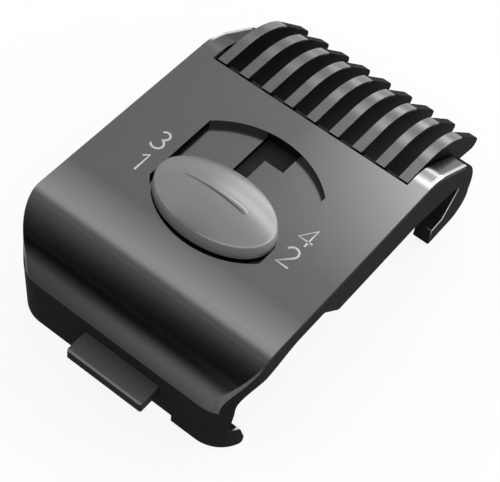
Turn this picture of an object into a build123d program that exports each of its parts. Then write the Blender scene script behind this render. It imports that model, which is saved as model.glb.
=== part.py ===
from build123d import *
import os
from math import acos, asin, cos, degrees, radians, sin, sqrt, tan

# Clipper guard comb with a sliding nine-tooth comb and a press-to-slide thumb knob.
# Millimetres. X runs across the guard, +Y points to the teeth, +Z is up, and the
# rear legs stand on Z = 0. Y = 0 is midway between the tab and the tooth tips.
# Side-view sizes are given ahead of the notch's rear line and below the cover's flat.

# ---------------------------------------------------------------- body
body_width = 44.0            # across the cover and the side rails
body_height = 23.0           # from the rear feet to the flat of the cover
front_depth = 22.4           # from the front hooks' heels to the flat
body_length = 44.7           # from the notch's rear line back to the rear wall
corner_radius = 6.5          # rear corners, seen from above
skin = 0.8                   # cover sheet
wall = 2.0                   # side rails and rear wall
comb_reach = 26.2            # from the notch's rear line to the tooth tips
tab_reach = 4.1              # thumb tab beyond the rear wall

ear_bend_start = 1.3         # rolled front ears: start of the bend, ahead of the notch
ear_bend_radius = 11.0
ear_slope = 30.5             # degrees below level
ear_reach = 15.0

rear_bend_radius = 13.6      # rolled rear edge
crease_angle = 30.0          # degrees below level where the roll would leave the flat
crease_radius = 3.0          # soft crease between the flat and the roll
lip_drop = 0.6               # straight lip below the end of the roll

# ---------------------------------------------------------------- recess and slot
ear_width = 3.05             # cover on each side of the notch
recess_front_radius = 15.6
recess_rear_radius = 14.3
recess_rear_shift = 0.8      # the round rear is centred this far right of the knob
recess_depth = 1.25
channel_width = 2.6
pocket_width = 6.1           # wide end of the keyhole, which passes the knob's post
pocket_overlap = 0.2         # the wide end reaches this far under the recess's front wall

# ---------------------------------------------------------------- knob
knob_length = 21.4
knob_width = 13.4
knob_back = 23.4             # knob centre at setting 1, behind the notch line
knob_side_gap = 0.4          # between the knob and the recess's flats
knob_rear_gap = 1.2
knob_front_gap = 3.3         # left in front of the knob at the last setting
knob_sink = 0.4              # the cap's lower edge lies this far below the flat
band_height = 2.3            # side band of the cap
band_draft = 0.2             # the band leans in by this much
dome_height = 2.4            # crown above the band
knob_seam = 0.1              # gap between the cap and its base
seam_inset = 0.5
rib_length = 11.8
rib_width = 0.9
rib_rise = 0.35
rib_offset = -0.2            # the rib reaches further to the left, where the numbers start
post_diameter = 4.0
post_height = 2.0            # above the cap's lower edge
post_gap = 0.5               # the post drops through the keyhole's wide end with this to spare
press_travel = 0.35
setting_pitch = 2.5
settings = 4

# ---------------------------------------------------------------- comb
tooth_count = 9
tooth_thickness = 1.75
tooth_side_gap = 0.355       # between the outer teeth and the notch's sides
tooth_start = 0.9            # rear end of the metal strip
tooth_sink = 0.6             # top of the strips below the flat of the cover
tooth_flat = 6.2             # where the tooth's back starts to fall
tooth_back_radius = 19.4
strip_end = 18.3
strip_thickness = 0.3
tip_radius = 1.2
tip_depth = 12.4             # centre of the tip's round below the flat
tip_end_angle = -100         # where the tip's round meets the belly, in degrees from level
tooth_root_depth = 8.6       # underside of the tooth at the bridge
tooth_belly_depth = 10.2     # underside half-way along
tail_length = 1.9            # tooth tails seated in the bridge
tail_step = 0.8
bridge_front = 2.4
bridge_length = 4.8
bridge_side_gap = 0.55
bridge_depth = 2.2           # top of the bridge below the flat

# ---------------------------------------------------------------- slider
plate_thickness = 1.6
plate_rear_gap = 8.7         # plate's rear end at setting 1, ahead of the body's rear
flange_thickness = 1.6
flange_side_gap = 2.4        # between the flange and the runners' lips
foot_length = 4.3
foot_thickness = 0.9
foot_drop = 0.15             # the plate's top lies this far below the foot
peg_diameter = 2.0
spring_diameter = 4.2
spring_wire = 0.45
spring_turns = 4
cup_diameter = 7.0
spring_height = 3.45         # with the knob up
cup_floor = 2.1              # below the spring's seat
running_gap = 0.1            # between flat sliding faces
shaft_gap = 0.05             # radial, peg in its bore
screw_diameter = 1.6
screw_head_diameter = 3.0
screw_head_height = 1.0
screw_slot_length = 2.4
screw_slot_width = 0.4
screw_grip = 2.0             # thread length in the bridge

# ---------------------------------------------------------------- runners and detents
runner_ledge = 1.2
runner_lip = 1.4
runner_back = 1.3            # between the groove and the side rail
runner_front_gap = 0.4       # between the runners and the bridge at setting 1
runner_rear_gap = 7.8        # ahead of the body's rear
rack_side_gap = 0.7          # between a rack and the recess on one side, its runner on the other
detent_rear_gap = 11.5       # the bump at setting 1, ahead of the body's rear
rack_depth = 1.9             # underside of the rack below the flat
rack_margin = 1.8
bump_radius = 0.7
leaf_side_gap = 0.6          # the leaves are narrower than the racks by this on each side
leaf_thickness = 0.2
leaf_foot = 3.0
leaf_reach = 8.0             # from the fixed foot to the bump

# ---------------------------------------------------------------- chassis
rim_depth = 4.35             # underside of the thin rear part of the side rails
rim_fall = 1.65              # the thin part's underside falls by this much, ending at the arch
rim_fall_start = 14.5        # ahead of the body's rear
rail_depth = 8.9             # underside of their deep part
rail_step_rear = 24.6
rail_step_front = 19.8
rail_step_round = 1.2
arch_reach = 3.6             # the rim's underside turns down into the leg over this length
arch_drop = 5.2
hook_join = 1.0              # rails end and front hooks start here
hook_side_gap = 0.05         # the hooks' inner faces stand back from the notch's sides
wall_foot = 1.6              # the rear wall ends this far above the feet
gate_width = 19.4            # the rear wall between the two legs, centred on the tab
leg_draft = 3.0              # degrees that the legs and the rear wall lean in, below the lip
rear_leg_front = 2.2
toe_reach = 2.6
toe_brow = 1.9               # the toe's front leans back above this
toe_lean = 1.2
toe_height = 5.5
toe_round = 0.6
tab_width = 14.4
tab_offset = 1.15
tab_thickness = 2.2
tab_depth = 15.4             # top of the tab below the flat
tab_seat = 0.4               # the tab's full section enters the rear wall by this
tab_tenon = 1.2
tab_shoulder = 0.5
tab_bevel = 0.25

# Front arm, as points of its side view: (ahead of the notch, below the flat)
arm_shoulder = (19.1, 11.2)
arm_nose = (20.1, 17.0)
arm_chin = (19.3, 21.1)
arm_heel = 16.6
arm_toe = (9.3, 18.2)
arm_toe_inner = (12.4, 18.0)
arm_crook = (15.3, 12.6)
arm_brow = (13.6, 11.3)

# ---------------------------------------------------------------- worked out
overall_length = comb_reach + body_length + tab_reach
notch_y = overall_length / 2 - comb_reach
rear_y = notch_y - body_length
side_x = body_width / 2
top_z = body_height
notch_width = body_width - 2 * ear_width
hook_width = ear_width - hook_side_gap
travel = (settings - 1) * setting_pitch
recess_width = knob_length + 2 * knob_side_gap
recess_front = knob_back - knob_width / 2 - travel - knob_front_gap
recess_rear = knob_back + knob_width / 2 + knob_rear_gap
tooth_pitch = (notch_width - 2 * tooth_side_gap - tooth_thickness) / (tooth_count - 1)
bridge_width = notch_width - 2 * bridge_side_gap
rear_centre = (rear_y + rear_bend_radius, top_z - rear_bend_radius * cos(radians(crease_angle)))
lip_z = rear_centre[1] - lip_drop
crease_drop = top_z - crease_radius - rear_centre[1]
crease_end = 180 - degrees(asin(crease_drop / (rear_bend_radius - crease_radius)))
crease_centre = (
    rear_centre[0] - sqrt((rear_bend_radius - crease_radius) ** 2 - crease_drop**2),
    top_z - crease_radius,
)
ear_centre = (notch_y + ear_bend_start, top_z - ear_bend_radius)
back_centre = (notch_y + tooth_flat, top_z - tooth_sink - tooth_back_radius)
tip_centre = (notch_y + comb_reach - tip_radius, top_z - tip_depth)
strip_angle = 90 - degrees(asin((strip_end - tooth_flat) / tooth_back_radius))
floor_top = top_z - recess_depth
floor_bottom = floor_top - skin
cap_z = top_z - knob_sink
base_z = floor_top + press_travel + running_gap
knob_y = notch_y - knob_back
channel_x = (channel_width - pocket_width) / 2
channel_rear_y = knob_y - foot_length / 2 - 2 * running_gap
pocket_front_y = notch_y - recess_front + pocket_overlap
pocket_length = post_diameter + post_gap
foot_top = floor_bottom - running_gap
foot_bottom = foot_top - foot_thickness
plate_z = foot_bottom - foot_drop
cup_seat = foot_bottom - spring_height
cup_bottom = cup_seat - cup_floor
bridge_rear_y = notch_y + bridge_front - bridge_length
groove_top = plate_z + running_gap
groove_bottom = plate_z - plate_thickness - running_gap
groove_x = side_x - wall - runner_back
plate_half_width = groove_x - running_gap
lip_x = groove_x - runner_lip
runner_front_y = bridge_rear_y - runner_front_gap
runner_rear_y = rear_y + runner_rear_gap
recess_x = recess_width / 2 + skin
detent_x = (lip_x + recess_x) / 2
rack_width = lip_x - recess_x - 2 * rack_side_gap
leaf_width = rack_width - 2 * leaf_side_gap
detent_y = rear_y + detent_rear_gap
rack_bottom = top_z - rack_depth
leaf_z = rack_bottom - running_gap - leaf_thickness / 2
leg_front_y = rear_y + rear_leg_front
tab_z = top_z - tab_depth - tab_thickness / 2
flange_bottom = top_z - tooth_root_depth
screw_z = (plate_z - plate_thickness + flange_bottom) / 2
screw_spacing = 5 * tooth_pitch  # the screws run between teeth
tooth_places = [(n - (tooth_count - 1) / 2) * tooth_pitch for n in range(tooth_count)]

os.makedirs("parts", exist_ok=True)


# ---------------------------------------------------------------- shared outlines
def on_circle(centre, radius, angle):
    return (centre[0] + radius * cos(radians(angle)), centre[1] + radius * sin(radians(angle)))


def arc(centre, radius, start, end):
    """An arc about a centre, from one angle to another, in the current line."""
    ThreePointArc(*(on_circle(centre, radius, a) for a in (start, (start + end) / 2, end)))


def at(ahead, below):
    """A point of a side view: its distance ahead of the notch line and below the flat."""
    return (notch_y + ahead, top_z - below)


def cover_side(inset):
    """The cover's side outline, from the ears to the end of the rear lip, moved inwards."""
    radius = ear_bend_radius - inset
    bend = on_circle(ear_centre, radius, 90 - ear_slope)
    front_y = notch_y + ear_reach
    front = (front_y, bend[1] - (front_y - bend[0]) * tan(radians(ear_slope)))
    rear_radius = rear_bend_radius - inset
    lip = (rear_y + inset, lip_z)
    Line(front, bend)
    arc(ear_centre, radius, 90 - ear_slope, 90)
    Line((ear_centre[0], top_z - inset), (crease_centre[0], top_z - inset))
    arc(crease_centre, crease_radius - inset, 90, crease_end)
    arc(rear_centre, rear_radius, crease_end, 180)
    Line((rear_y + inset, rear_centre[1]), lip)
    return front, lip


def body_plan(inset=0.0):
    """The body seen from above, with its two round rear corners."""
    half = side_x - inset
    front_y = notch_y + ear_reach
    with BuildSketch() as plan:
        with BuildLine():
            FilletPolyline(
                (half, front_y),
                (half, rear_y + inset),
                (-half, rear_y + inset),
                (-half, front_y),
                radius=corner_radius - inset,
            )
            Line((-half, front_y), (half, front_y))
        make_face()
    return plan.sketch


def recess_plan():
    """The recess seen from above: a round front, two flats and a round rear."""
    half = recess_width / 2
    front_y = notch_y - recess_front
    corner_y = front_y - recess_front_radius + sqrt(recess_front_radius**2 - half**2)
    deepest = (recess_rear_shift, notch_y - recess_rear)
    left, right = (
        (x, deepest[1] + recess_rear_radius - sqrt(recess_rear_radius**2 - (x - deepest[0]) ** 2))
        for x in (-half, half)
    )
    with BuildSketch() as plan:
        with BuildLine():
            ThreePointArc((-half, corner_y), (0, front_y), (half, corner_y))
            Line((half, corner_y), right)
            ThreePointArc(right, deepest, left)
            Line(left, (-half, corner_y))
        make_face()
    return plan.sketch


def finish(piece, name):
    """Label one piece and write its STEP file."""
    piece.part.label = name
    export_step(piece.part, f"parts/{name}.step")


# ---------------------------------------------------------------- top cover
with BuildPart() as top_cover:
    with BuildSketch(Plane.YZ.offset(-side_x)):
        with BuildLine():
            outer_front, outer_lip = cover_side(0)
            inner_front, inner_lip = cover_side(skin)
            Line(outer_front, inner_front)
            Line(outer_lip, inner_lip)
        make_face()
    extrude(amount=body_width)
    with BuildSketch():
        add(body_plan())
    extrude(amount=top_z, mode=Mode.INTERSECT)
    # Dished recess that the knob sits in
    with BuildSketch(Plane.XY.offset(floor_bottom)):
        add(recess_plan())
        offset(amount=skin)
    extrude(amount=top_z - floor_bottom)
    with BuildSketch(Plane.XY.offset(floor_top)):
        add(recess_plan())
    extrude(amount=recess_depth, mode=Mode.SUBTRACT)
    # Keyhole slot in the recess floor
    with BuildSketch(Plane.XY.offset(floor_bottom)):
        with Locations((channel_x, channel_rear_y)):
            Rectangle(
                channel_width, pocket_front_y - channel_rear_y, align=(Align.CENTER, Align.MIN)
            )
        with Locations((0, pocket_front_y)):
            Rectangle(pocket_width, pocket_length, align=(Align.CENTER, Align.MAX))
    extrude(amount=skin, mode=Mode.SUBTRACT)
    # Notch that the comb slides in
    with BuildSketch():
        with Locations((0, notch_y)):
            Rectangle(notch_width, 2 * ear_reach, align=(Align.CENTER, Align.MIN))
    extrude(amount=top_z, mode=Mode.SUBTRACT)
finish(top_cover, "top_cover")


# ---------------------------------------------------------------- chassis
with BuildPart() as under_cover:
    # Everything the cover sheet closes over
    with BuildSketch(Plane.YZ.offset(-side_x)):
        with BuildLine():
            front, lip = cover_side(skin)
            Polyline(lip, (rear_y, lip_z), (rear_y, 0), (front[0], 0), front)
        make_face()
    extrude(amount=body_width)

with BuildPart() as outside:
    # Upright beside the cover, leaning in below its rear lip
    for height, draft in ((top_z - lip_z, 0), (-lip_z, leg_draft)):
        with BuildSketch(Plane.XY.offset(lip_z)):
            add(body_plan())
        extrude(amount=height, taper=draft)

with BuildPart() as chassis_wall:
    # The ring of wall under the cover, flush with its edges
    with BuildSketch():
        add(body_plan())
        add(body_plan(wall), mode=Mode.SUBTRACT)
    extrude(amount=top_z)
    add(under_cover.part, mode=Mode.INTERSECT)
    add(outside.part, mode=Mode.INTERSECT)


def make_side_rail(side):
    """One side rail: deep beside the slider, thin over the gap ahead of the rear leg."""
    arch = (leg_front_y + arch_reach, top_z - rim_depth - rim_fall)
    leg_top = (leg_front_y, arch[1] - arch_drop)
    fall_start = (rear_y + rim_fall_start, top_z - rim_depth)
    with BuildPart() as rail:
        with BuildSketch(Plane.YZ):
            with BuildLine():
                Polyline(leg_top, (leg_front_y, top_z), at(hook_join, 0), at(hook_join, rail_depth))
                FilletPolyline(
                    at(hook_join, rail_depth),
                    at(-rail_step_front, rail_depth),
                    at(-rail_step_rear, rim_depth),
                    fall_start,
                    radius=rail_step_round,
                )
                Spline(fall_start, arch, tangents=((-1, 0), (-1, 0)))
                EllipticalCenterArc(
                    (arch[0], leg_top[1]), arch_reach, arch_drop, start_angle=90, arc_size=90
                )
            make_face()
        extrude(amount=side * side_x)
        add(chassis_wall.part, mode=Mode.INTERSECT)
    return rail


def make_rear_hook(side):
    """One rear corner leg, with the toe that catches under the clipper's head."""
    toe_y = leg_front_y + toe_reach
    inner_x = tab_offset + side * gate_width / 2
    with BuildPart() as hook:
        with BuildSketch():
            with Locations(((side * side_x + inner_x) / 2, rear_y)):
                Rectangle(
                    side_x - side * inner_x, rear_leg_front, align=(Align.CENTER, Align.MIN)
                )
        extrude(amount=top_z)
        add(chassis_wall.part, mode=Mode.INTERSECT)
        with BuildSketch(Plane.YZ.offset(side * (side_x - hook_width))):
            with BuildLine():
                FilletPolyline(
                    (leg_front_y, 0),
                    (toe_y, 0),
                    (toe_y, toe_brow),
                    (toe_y - toe_lean, toe_height),
                    (leg_front_y, toe_height),
                    radius=toe_round,
                )
                Line((leg_front_y, toe_height), (leg_front_y, 0))
            make_face()
        extrude(amount=side * hook_width)
        add(outside.part, mode=Mode.INTERSECT)
    return hook


def make_front_hook(side):
    """One front arm under the cover's ear, curling down and back to its toe."""
    radius = ear_bend_radius - skin
    bend = on_circle(ear_centre, radius, 90 - ear_slope)
    bend_start = (ear_centre[0], top_z - skin)
    with BuildPart() as hook:
        with BuildSketch(Plane.YZ.offset(side * (side_x - hook_width))):
            with BuildLine():
                Polyline(at(hook_join, rail_depth), at(hook_join, skin), bend_start)
                arc(ear_centre, radius, 90, 90 - ear_slope)
                Polyline(bend, inner_front, outer_front)
                ThreePointArc(outer_front, at(*arm_shoulder), at(*arm_nose))
                heel = at(arm_heel, front_depth)
                toe = at(*arm_toe)
                ThreePointArc(at(*arm_nose), at(*arm_chin), heel)
                Polyline(
                    heel,
                    (toe[0] + toe_round, heel[1]),
                    (toe[0], heel[1] + toe_round),
                    toe,
                    at(*arm_toe_inner),
                )
                Line(at(*arm_toe_inner), at(*arm_crook))
                Line(at(*arm_crook), at(*arm_brow))
                Line(at(*arm_brow), at(hook_join, rail_depth))
            make_face()
        extrude(amount=side * hook_width)
    return hook


with BuildPart() as rear_wall:
    with BuildSketch(Plane.XY.offset(wall_foot)):
        with Locations((tab_offset, rear_y)):
            Rectangle(gate_width, wall, align=(Align.CENTER, Align.MIN))
    extrude(amount=top_z)
    add(under_cover.part, mode=Mode.INTERSECT)
    add(outside.part, mode=Mode.INTERSECT)
    # Seat for the thumb tab and slot for its tenon
    with Locations((tab_offset, rear_y, tab_z)):
        Box(tab_width, 2 * tab_seat, tab_thickness, mode=Mode.SUBTRACT)
        Box(
            tab_width - 2 * tab_shoulder,
            2 * tab_tenon,
            tab_thickness - 2 * tab_shoulder,
            mode=Mode.SUBTRACT,
        )
finish(rear_wall, "rear_wall")

with BuildPart() as thumb_tab:
    with Locations((tab_offset, rear_y, tab_z)):
        Box(tab_width, tab_reach, tab_thickness, align=(Align.CENTER, Align.MAX, Align.CENTER))
    chamfer(thumb_tab.edges().group_by(Axis.Y)[0], length=tab_bevel)
    with Locations((tab_offset, rear_y, tab_z)):
        Box(
            tab_width,
            tab_seat,
            tab_thickness,
            align=(Align.CENTER, Align.MIN, Align.CENTER),
        )
        Box(
            tab_width - 2 * tab_shoulder,
            tab_tenon,
            tab_thickness - 2 * tab_shoulder,
            align=(Align.CENTER, Align.MIN, Align.CENTER),
        )
finish(thumb_tab, "thumb_tab")


# ---------------------------------------------------------------- runners and detents
def make_runner(side):
    """One channel under the cover, whose groove carries an edge of the slider plate."""
    back_x = side_x - wall
    outline = [
        (back_x, top_z - skin),
        (lip_x, top_z - skin),
        (lip_x, groove_top),
        (groove_x, groove_top),
        (groove_x, groove_bottom),
        (lip_x, groove_bottom),
        (lip_x, groove_bottom - runner_ledge),
        (back_x, groove_bottom - runner_ledge),
    ]
    with BuildPart() as runner:
        with BuildSketch(Plane.XZ.offset(-runner_front_y)):
            with BuildLine():
                Polyline(*((side * x, z) for x, z in outline), close=True)
            make_face()
        extrude(amount=runner_front_y - runner_rear_y)
    return runner


def make_detent_rack(side):
    """One strip under the cover with a notch for each setting."""
    with BuildPart() as rack:
        with BuildSketch(Plane.YZ.offset(side * detent_x - rack_width / 2)):
            with Locations((detent_y - rack_margin, rack_bottom)):
                Rectangle(
                    travel + 2 * rack_margin, rack_depth - skin, align=(Align.MIN, Align.MIN)
                )
            with Locations(*((detent_y + n * setting_pitch, leaf_z) for n in range(settings))):
                Circle(bump_radius + running_gap, mode=Mode.SUBTRACT)
        extrude(amount=rack_width)
    return rack


def make_detent_spring(side):
    """One leaf on the slider plate, with a bump that sits in a notch of the rack."""
    half = leaf_thickness / 2
    foot_end = (detent_y + leaf_reach + leaf_foot, plate_z + half)
    foot_start = (detent_y + leaf_reach, plate_z + half)
    rise_end = (detent_y + 2 * bump_radius, leaf_z)
    tail = (detent_y - 2 * bump_radius, leaf_z)
    with BuildPart() as leaf:
        with BuildSketch(Plane.YZ.offset(side * detent_x - leaf_width / 2)):
            with BuildLine():
                Polyline(foot_end, foot_start, rise_end, tail)
            trace(line_width=leaf_thickness)
            with Locations((detent_y, leaf_z)):
                Circle(bump_radius)
        extrude(amount=leaf_width)
    return leaf


# ---------------------------------------------------------------- comb
def tooth_back(inset):
    """The arched back of a tooth, from its rear end to the end of the strip."""
    radius = tooth_back_radius - inset
    start = at(tooth_start, tooth_sink + inset)
    Line(start, (back_centre[0], top_z - tooth_sink - inset))
    arc(back_centre, radius, 90, strip_angle)
    return start, on_circle(back_centre, radius, strip_angle)


def make_tooth(x):
    """One black tooth, with a step along its back that the metal strip lies in."""
    with BuildPart() as tooth:
        with BuildSketch(Plane.YZ.offset(x - tooth_thickness / 2)):
            with BuildLine():
                start, step_in = tooth_back(strip_thickness)
                step_out = on_circle(back_centre, tooth_back_radius, strip_angle)
                # Straight front, tangent to the round of the tip
                to_tip = Vector(*tip_centre) - Vector(*step_out)
                fall = degrees(acos(to_tip.X / to_tip.length))
                front_angle = fall - degrees(asin(tip_radius / to_tip.length))
                tip_start_angle = 90 - front_angle
                tip_top = on_circle(tip_centre, tip_radius, tip_start_angle)
                tip_bottom = on_circle(tip_centre, tip_radius, tip_end_angle)
                root = at(bridge_front, tooth_root_depth)
                belly = at((strip_end + bridge_front) / 2, tooth_belly_depth)
                tail_y = notch_y + tooth_start - tail_length
                tail_top = top_z - bridge_depth - tail_step
                Polyline(step_in, step_out, tip_top)
                arc(tip_centre, tip_radius, tip_start_angle, tip_end_angle)
                ThreePointArc(tip_bottom, belly, root)
                Polyline(
                    root,
                    (root[0], root[1] + tail_step),
                    (tail_y, root[1] + tail_step),
                    (tail_y, tail_top),
                    (start[0], tail_top),
                    start,
                )
            make_face()
        extrude(amount=tooth_thickness)
    return tooth


def make_tooth_strip(x):
    """The metal strip along one tooth's back."""
    with BuildPart() as strip:
        with BuildSketch(Plane.YZ.offset(x - tooth_thickness / 2)):
            with BuildLine():
                outer_start, outer_end = tooth_back(0)
                inner_start, inner_end = tooth_back(strip_thickness)
                Line(outer_start, inner_start)
                Line(outer_end, inner_end)
            make_face()
        extrude(amount=tooth_thickness)
    return strip


with BuildPart() as comb_bridge:
    with Locations((0, bridge_rear_y, top_z - bridge_depth)):
        Box(
            bridge_width,
            bridge_length,
            tooth_root_depth - bridge_depth,
            align=(Align.CENTER, Align.MIN, Align.MAX),
        )
    for tooth_x in tooth_places:
        add(make_tooth(tooth_x).part, mode=Mode.SUBTRACT)
    with BuildSketch(Plane.XZ.offset(-bridge_rear_y)):
        with Locations((-screw_spacing / 2, screw_z), (screw_spacing / 2, screw_z)):
            Circle(screw_diameter / 2)
    extrude(amount=-screw_grip, mode=Mode.SUBTRACT)
finish(comb_bridge, "comb_bridge")

for number, tooth_x in enumerate(tooth_places, start=1):
    finish(make_tooth(tooth_x), f"comb_tooth_{number}")
    finish(make_tooth_strip(tooth_x), f"tooth_strip_{number}")


# ---------------------------------------------------------------- slider plate and knob
with BuildPart() as slider_plate:
    plate_length = bridge_rear_y - rear_y - plate_rear_gap
    with Locations((0, bridge_rear_y, plate_z)):
        Box(
            2 * plate_half_width,
            plate_length,
            plate_thickness,
            align=(Align.CENTER, Align.MAX, Align.MAX),
        )
        # Flange that the bridge is screwed to
        Box(
            2 * (lip_x - flange_side_gap),
            flange_thickness,
            plate_z - flange_bottom,
            align=(Align.CENTER, Align.MAX, Align.MAX),
        )
    # Cup for the knob's spring and peg
    with BuildSketch(Plane.XY.offset(cup_bottom)):
        with Locations((0, knob_y)):
            Circle(cup_diameter / 2)
    extrude(amount=plate_z - cup_bottom)
    with BuildSketch(Plane.XY.offset(plate_z)):
        with Locations((0, knob_y)):
            Rectangle(pocket_width, foot_length + 2 * running_gap)
    extrude(amount=foot_bottom - plate_z - press_travel - running_gap, mode=Mode.SUBTRACT)
    with Locations((0, knob_y, cup_seat)):
        Cylinder(
            spring_diameter / 2 + 2 * running_gap,
            spring_height,
            align=(Align.CENTER, Align.CENTER, Align.MIN),
            mode=Mode.SUBTRACT,
        )
        Cylinder(
            peg_diameter / 2 + shaft_gap,
            cup_floor,
            align=(Align.CENTER, Align.CENTER, Align.MAX),
            mode=Mode.SUBTRACT,
        )
    with BuildSketch(Plane.XZ.offset(-bridge_rear_y)):
        with Locations((-screw_spacing / 2, screw_z), (screw_spacing / 2, screw_z)):
            Circle(screw_diameter / 2)
    extrude(amount=flange_thickness, mode=Mode.SUBTRACT)
finish(slider_plate, "slider_plate")

with BuildPart() as bridge_screws:
    for screw_x in (-screw_spacing / 2, screw_spacing / 2):
        with BuildSketch(Plane.XZ.offset(flange_thickness - bridge_rear_y)):
            with Locations((screw_x, screw_z)):
                Circle(screw_head_diameter / 2)
                SlotOverall(screw_slot_length, screw_slot_width, mode=Mode.SUBTRACT)
        extrude(amount=screw_head_height)
        with BuildSketch(Plane.XZ.offset(flange_thickness - bridge_rear_y)):
            with Locations((screw_x, screw_z)):
                Circle(screw_head_diameter / 2)
        extrude(amount=screw_head_height / 2)
        with BuildSketch(Plane.XZ.offset(flange_thickness - bridge_rear_y)):
            with Locations((screw_x, screw_z)):
                Circle(screw_diameter / 2)
        extrude(amount=-flange_thickness - screw_grip)
finish(bridge_screws, "bridge_screws")

with BuildPart() as knob_base:
    with BuildSketch(Plane.XY.offset(base_z)):
        with Locations((0, knob_y)):
            Ellipse(knob_length / 2, knob_width / 2)
    extrude(amount=cap_z - knob_seam - base_z)
    with BuildSketch(Plane.XY.offset(cap_z)):
        with Locations((0, knob_y)):
            Ellipse(knob_length / 2 - seam_inset, knob_width / 2 - seam_inset)
    extrude(amount=-knob_seam)
    with BuildSketch(Plane.XY.offset(base_z)):
        with Locations((0, knob_y)):
            Circle(post_diameter / 2)
    extrude(amount=cap_z - base_z, mode=Mode.SUBTRACT)
finish(knob_base, "knob_base")


def dome(rise):
    """The cap's crown over its band: a low cap of a ball, stretched to the knob's oval."""
    half_length = knob_length / 2 - band_draft
    half_width = knob_width / 2 - band_draft
    ball_radius = (half_length**2 + dome_height**2) / (2 * dome_height)
    ball_centre = (0, dome_height - ball_radius)
    edge_angle = degrees(acos(half_length / ball_radius))
    with BuildPart(mode=Mode.PRIVATE) as crown:
        with BuildSketch(Plane.XZ):
            with BuildLine():
                arc(ball_centre, ball_radius, 90, edge_angle)
                Polyline((half_length, 0), (0, 0), (0, dome_height))
            make_face()
        revolve(axis=Axis.Z)
        scale(by=(1, half_width / half_length, 1))
    return Pos(0, knob_y, cap_z + band_height + rise) * crown.part


with BuildPart() as knob_cap:
    for height, lean in ((0, 0), (band_height, band_draft)):
        with BuildSketch(Plane.XY.offset(cap_z + height)):
            with Locations((0, knob_y)):
                Ellipse(knob_length / 2 - lean, knob_width / 2 - lean)
    loft()
    add(dome(0))
    # Pointer rib that follows the crown
    with BuildPart(mode=Mode.PRIVATE) as rib:
        with BuildSketch(Plane.XY.offset(cap_z + band_height)):
            with Locations((rib_offset, knob_y)):
                SlotOverall(rib_length, rib_width)
        extrude(amount=dome_height + rib_rise)
        add(dome(rib_rise), mode=Mode.INTERSECT)
    add(rib.part)
    with BuildSketch(Plane.XY.offset(cap_z)):
        with Locations((0, knob_y)):
            Circle(post_diameter / 2)
    extrude(amount=post_height, mode=Mode.SUBTRACT)
finish(knob_cap, "knob_cap")

with BuildPart() as knob_stem:
    # Post in the base and the cap
    with BuildSketch(Plane.XY.offset(base_z)):
        with Locations((0, knob_y)):
            Circle(post_diameter / 2)
    extrude(amount=cap_z + post_height - base_z)
    # Neck through the keyhole's channel
    with BuildSketch(Plane.XY.offset(foot_bottom)):
        with Locations((channel_x, knob_y)):
            Rectangle(channel_width - 2 * running_gap, foot_length)
    extrude(amount=base_z - foot_bottom)
    # Foot that the spring lifts against the recess floor, and the peg that guides it
    with BuildSketch(Plane.XY.offset(foot_bottom)):
        with Locations((0, knob_y)):
            Rectangle(pocket_width - 2 * running_gap, foot_length)
    extrude(amount=foot_thickness)
    with BuildSketch(Plane.XY.offset(foot_bottom)):
        with Locations((0, knob_y)):
            Circle(peg_diameter / 2)
    extrude(amount=-(foot_bottom - cup_bottom - press_travel - running_gap))
finish(knob_stem, "knob_stem")

with BuildPart() as button_spring:
    coil_radius = (spring_diameter - spring_wire) / 2
    coil_height = spring_height - spring_wire
    with BuildLine():
        coil = Helix(
            pitch=coil_height / spring_turns,
            height=coil_height,
            radius=coil_radius,
            center=(0, knob_y, cup_seat + spring_wire / 2),
        )
    with BuildSketch(Plane(origin=coil @ 0, z_dir=coil % 0)):
        Circle(spring_wire / 2)
    sweep(is_frenet=True)
finish(button_spring, "button_spring")


# ---------------------------------------------------------------- left and right pieces
for side, word in ((-1, "left"), (1, "right")):
    finish(make_side_rail(side), f"side_rail_{word}")
    finish(make_front_hook(side), f"front_hook_{word}")
    finish(make_rear_hook(side), f"rear_hook_{word}")
    finish(make_runner(side), f"runner_{word}")
    finish(make_detent_rack(side), f"detent_rack_{word}")
    finish(make_detent_spring(side), f"detent_spring_{word}")
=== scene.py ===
# %% [markdown]
# # Clipper guard comb
# A guard that clips onto the head of a hair clipper. A satin metal cover carries a
# thumb knob in a shallow recess, and the knob slides a nine-tooth comb in the cover's
# notch. The solid model gives every size; this script gives the pieces their rounded
# edges, their finishes and their light. First the solid model is loaded as a fixed frame.

# %% Load the frame
import bmesh
import bpy
from math import cos, pi, radians, sin, sqrt
from mathutils import Matrix, Vector


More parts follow.
